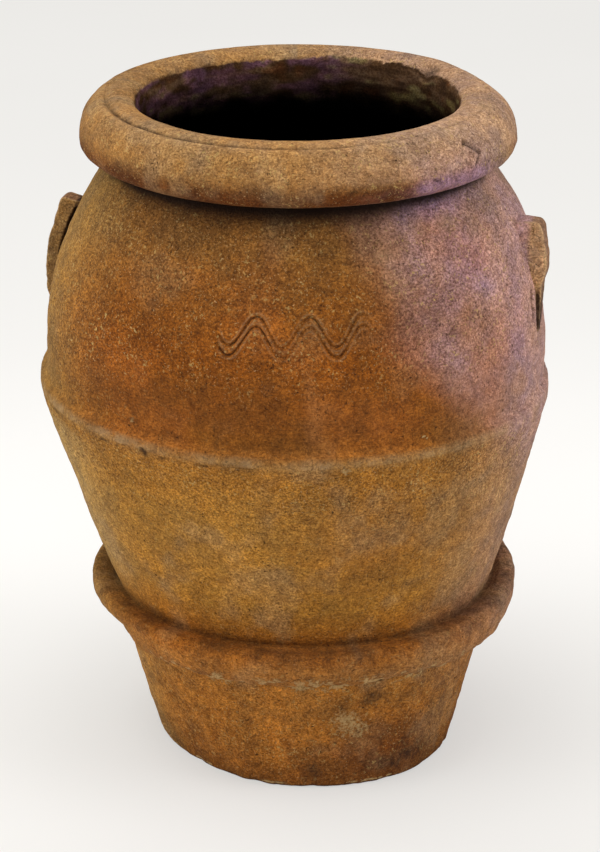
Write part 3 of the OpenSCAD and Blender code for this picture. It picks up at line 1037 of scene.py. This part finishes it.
def clay_material(name, grit, mottling):
    """Fired clay: grain and specks on the broad colour and masks that the meshes carry."""
    g = Graph(name)
    colour = g.attribute("tint", "Color")
    dirt_and_painted_shade, worn, lime = g.attribute("dirt_and_painted_shade"), g.attribute("worn"), g.attribute("lime")
    many, inner = g.attribute("flecks"), g.attribute("inner")
    outside = g.math("SUBTRACT", 1.0, inner)

    cloud = g.noise(26, 6, 0.7)
    shades = g.mix(g.step(cloud, 0.34, 0.66), rgb(0.70, 0.74, 0.92), rgb(1.28, 1.22, 1.0))
    colour = g.mix(mottling, colour, shades, "MULTIPLY")
    blotch = g.noise(90, 5, 0.72, g.moved(3))
    shades = g.mix(g.step(blotch, 0.36, 0.64), rgb(0.74, 0.68, 0.62), rgb(1.24, 1.28, 1.3))
    colour = g.mix(mottling, colour, shades, "MULTIPLY")
    brushed = g.noise(170, 4, 0.7, g.moved(5, (1, 1, 3.0)))
    shades = g.mix(g.step(brushed, 0.36, 0.64), rgb(0.72, 0.68, 0.64), rgb(1.24, 1.26, 1.26))
    colour = g.mix(0.5, colour, shades, "MULTIPLY")
    grain = g.noise(400, 3, 0.75)
    shades = g.mix(g.step(grain, 0.36, 0.64), rgb(0.44, 0.38, 0.34), rgb(1.52, 1.6, 1.6))
    rough = g.math("ADD", 0.62, g.times(many, 0.6))
    colour = g.mix(g.math("MULTIPLY", rough, grit, True), colour, shades, "MULTIPLY")
    leather = g.math("ABSOLUTE", g.math("SUBTRACT", g.noise(230, 1.5, 0.5, g.moved(7)), 0.5))
    valley = g.step(leather, 0.035, 0.0)
    colour = g.mix(g.times(valley, outside, 0.24), colour, rgb(0.07, 0.028, 0.010))

    group = g.step(g.noise(36, 3, 0.65, g.moved(11)), 0.42, 0.62)
    pale = g.times(g.step(g.noise(260, 2, 0.6, g.moved(9)), 0.58, 0.68), group)
    colour = g.mix(g.times(pale, many, outside, 0.85), colour, rgb(0.55, 0.36, 0.12))
    bits = g.step(g.noise(480, 2, 0.6, g.moved(13)), 0.63, 0.72)
    colour = g.mix(g.times(bits, many, outside, 0.95), colour, rgb(0.58, 0.38, 0.17))
    group = g.step(g.noise(48, 3, 0.6, g.moved(17)), 0.42, 0.6)
    pits = g.times(g.step(g.noise(310, 2, 0.65, g.moved(15)), 0.38, 0.29), group)
    colour = g.mix(g.times(pits, outside, 0.85), colour, rgb(0.040, 0.015, 0.006))

    rub = g.times(worn, g.step(g.noise(120, 4, 0.7, g.moved(19)), 0.30, 0.52))
    colour = g.mix(g.times(rub, 0.66), colour, rgb(0.43, 0.28, 0.14))
    colour = g.mix(g.attribute("shade"), colour, rgb(0.012, 0.004, 0.002))
    # Dirt and stains, and painted shade in the hollows, crevices and slits, darken the clay in
    # patches.
    broken = g.math("ADD", 0.5, g.step(g.noise(85, 5, 0.75, g.moved(21)), 0.3, 0.7))
    patchy_dirt_and_painted_shade = g.math("MULTIPLY", dirt_and_painted_shade, broken, True)
    colour = g.mix(g.times(patchy_dirt_and_painted_shade, 0.9), colour, rgb(0.030, 0.014, 0.008))
    limy = g.math("ADD", lime, g.noise(230, 4, 0.75, g.moved(23)))
    crust = g.times(g.step(limy, 0.78, 1.0), outside)
    colour = g.mix(g.times(crust, 0.76), colour, rgb(0.60, 0.40, 0.170))

    height = g.times(grain, 0.8)
    for op, layer, weight in (
        ("ADD", blotch, 1.6), ("ADD", brushed, 0.7), ("SUBTRACT", pits, 0.8),
        ("SUBTRACT", valley, 0.35), ("ADD", crust, 0.5),
    ):
        height = g.math(op, height, g.times(layer, weight))
    bump = g.node("Bump", Strength=1.0, Distance=0.0020, Height=height)
    shader = g.node("BsdfPrincipled", Base_Color=colour, Roughness=0.86)
    g.feed(shader.inputs["Normal"], bump.outputs[0])
    g.tree.links.new(g.times(outside, 0.12), shader.inputs["Specular IOR Level"])
    g.node("OutputMaterial", Surface=shader.outputs[0])
    return g.material


# Strength of the grain and of the mottling of each clay.
clays = {
    slot: clay_material(slot, grit, mottling)
    for slot, grit, mottling in (
        ("foot_clay", 0.62, 0.75),
        ("body_clay", 0.66, 0.6),
        ("rim_clay", 0.46, 0.6),
        ("handle_clay", 0.6, 0.7),
    )
}

# The finer steps take in the incised line, a gouge below the right lug and the rim's gouges.
marked = angles_with_detail(720, (-20, 20, 0.24), (66, 73, 0.3))
gouged = angles_with_detail(640, (33, 41, 0.3), (48, 60, 0.3))
disc("floor_slab", INNER_BASE_R + 10, INNER_BASE_R, FLOOR_T, "foot_clay")
ring("floor_fillet", floor_fillet_outline(), even_angles(240), "foot_clay")
ring("foot_wall", foot_wall_outline(), even_angles(560), "foot_clay")
ring("foot_cordon", foot_cordon_outline(), even_angles(680), "foot_clay")
ring("belly_wall", belly_wall_outline(), even_angles(720), "body_clay")
ring("belly_band", belly_band_outline(), even_angles(780), "body_clay")
ring("shoulder_wall", shoulder_wall_outline(), marked, "body_clay")
ring("neck_ring", neck_ring_outline(), even_angles(640), "rim_clay")
ring("rim_collar", rim_collar_outline(), gouged, "rim_clay")
left_inner = lug_inner(LEFT_OUTER[0][1], LEFT_OUTER[-1][1], True)
right_inner = lug_inner(RIGHT_OUTER[0][1], RIGHT_OUTER[-1][1], False)
lug("left_handle", LEFT_AZIMUTH, LEFT_OUTER, left_inner, LEFT_TAIL, "handle_clay")
lug("right_handle", RIGHT_AZIMUTH, RIGHT_OUTER, right_inner, RIGHT_TAIL, "handle_clay")


# -------- floor, light, camera
# Painted light on the floor: how pale the camera sees it by distance behind the jar, in metres.
FLOOR_PAINTED_LIGHT = ((-0.6, 0.84), (-0.1, 0.92), (0.55, 1.1), (1.4, 1.03), (3.6, 1.1), (8.0, 1.2))
FLOOR_GLOW = 0.55
# Strength of the light from all round, and the colour that the camera sees behind the floor.
AMBIENT, BACKDROP = 0.5, (0.84, 0.82, 0.78)
# Lamps: name, place from the camera's side and size in metres, power in watts, colour.
LAMPS = (
    ("overhead", (-0.3, -0.2, 2.9), (2.4, 2.0), 50, (1, 1, 1)),
    ("left", (-2.6, -0.9, 1.3), (1.4, 2.2), 32, (1, 1, 1)),
    ("right", (2.6, -0.7, 1.3), (1.4, 2.2), 36, (0.97, 0.97, 1.0)),
)
# Camera: focal length in mm, place in metres and angle below the horizontal in degrees.
LENS, DISTANCE, HEIGHT, ASIDE, PITCH = 126.76, 3.1256, 1.596, -0.0011, 21.55


def turned(x, y):
    """A place seen from the camera's side, in the shared frame."""
    turn = math.radians(FRONT)
    return x * math.cos(turn) - y * math.sin(turn), x * math.sin(turn) + y * math.cos(turn)


def pale_floor():
    """Seamless paper: part of what the camera sees of it is a painted glow whose paleness changes
    with distance behind the jar.
    """
    g = Graph("pale_floor")
    tone = g.step(g.noise(1.3, 2), 0.3, 0.7)
    paper = g.mix(tone, rgb(0.79, 0.775, 0.745), rgb(0.82, 0.805, 0.775))
    diffuse = g.node("BsdfDiffuse", Color=paper)
    turn = math.radians(FRONT)
    split = g.node("SeparateXYZ", Vector=g.coords)
    sideways = g.times(split.outputs[0], -math.sin(turn))
    behind = g.math("ADD", sideways, g.times(split.outputs[1], math.cos(turn)))
    near, far = FLOOR_PAINTED_LIGHT[0][0], FLOOR_PAINTED_LIGHT[-1][0]
    scaled = g.node("MapRange", Value=behind)
    scaled.inputs["From Min"].default_value, scaled.inputs["From Max"].default_value = near, far
    fade = g.new("ValToRGB")
    g.tree.links.new(scaled.outputs[0], fade.inputs[0])
    fade.color_ramp.interpolation = "EASE"
    stops = fade.color_ramp.elements
    while len(stops) < len(FLOOR_PAINTED_LIGHT):
        stops.new(0.5)
    for stop, (distance, _) in zip(stops, FLOOR_PAINTED_LIGHT):
        stop.position = (distance - near) / (far - near)
    for stop, (_, value) in zip(stops, FLOOR_PAINTED_LIGHT):
        stop.color = rgb(value, value * 0.985, value * 0.955)
    glow = g.node("Emission", Color=fade.outputs[0], Strength=1.0)
    path = g.new("LightPath")
    share = g.times(path.outputs["Is Camera Ray"], FLOOR_GLOW)
    both = g.new("MixShader")
    for socket, source in zip(both.inputs, (share, diffuse.outputs[0], glow.outputs[0])):
        g.tree.links.new(source, socket)
    g.node("OutputMaterial", Surface=both.outputs[0])
    bpy.ops.mesh.primitive_circle_add(vertices=128, radius=14, fill_type="NGON")
    floor = bpy.context.object
    floor.name = "floor"
    floor.data.materials.append(g.material)


def area_light(name, where, size, power, colour):
    data = bpy.data.lights.new(name, "AREA")
    data.shape, data.size, data.size_y = "RECTANGLE", size[0], size[1]
    data.energy, data.color = power, colour
    lamp = bpy.data.objects.new(name, data)
    bpy.context.scene.collection.objects.link(lamp)
    lamp.location = (*turned(where[0], where[1]), where[2])
    aim = Vector((0, 0, 0.4)) - lamp.location
    lamp.rotation_euler = aim.to_track_quat("-Z", "Y").to_euler()


def studio():
    """Light from all round, a plain backdrop for the camera, and the lamps."""
    world = bpy.data.worlds.new("studio")
    bpy.context.scene.world = world
    world.use_nodes = True
    tree = world.node_tree
    tree.nodes.clear()
    ambient, seen, path, mix, out = (
        tree.nodes.new("ShaderNode" + kind)
        for kind in ("Background", "Background", "LightPath", "MixShader", "OutputWorld")
    )
    ambient.inputs["Color"].default_value = rgb(1, 1, 1)
    ambient.inputs["Strength"].default_value = AMBIENT
    seen.inputs["Color"].default_value = rgb(*BACKDROP)
    share = path.outputs["Is Camera Ray"]
    for socket, source in zip(mix.inputs, (share, ambient.outputs[0], seen.outputs[0])):
        tree.links.new(source, socket)
    tree.links.new(mix.outputs[0], out.inputs[0])
    for lamp in LAMPS:
        area_light(*lamp)


def camera():
    data = bpy.data.cameras.new("camera")
    data.sensor_width, data.lens = 36, LENS
    data.clip_start, data.clip_end = 0.05, 60
    cam = bpy.data.objects.new("camera", data)
    bpy.context.scene.collection.objects.link(cam)
    cam.location = (*turned(ASIDE, -DISTANCE), HEIGHT)
    cam.rotation_euler = (math.radians(90 - PITCH), 0, math.radians(FRONT))
    bpy.context.scene.camera = cam


pale_floor()
studio()
camera()
bpy.context.scene.view_settings.view_transform = "Standard"
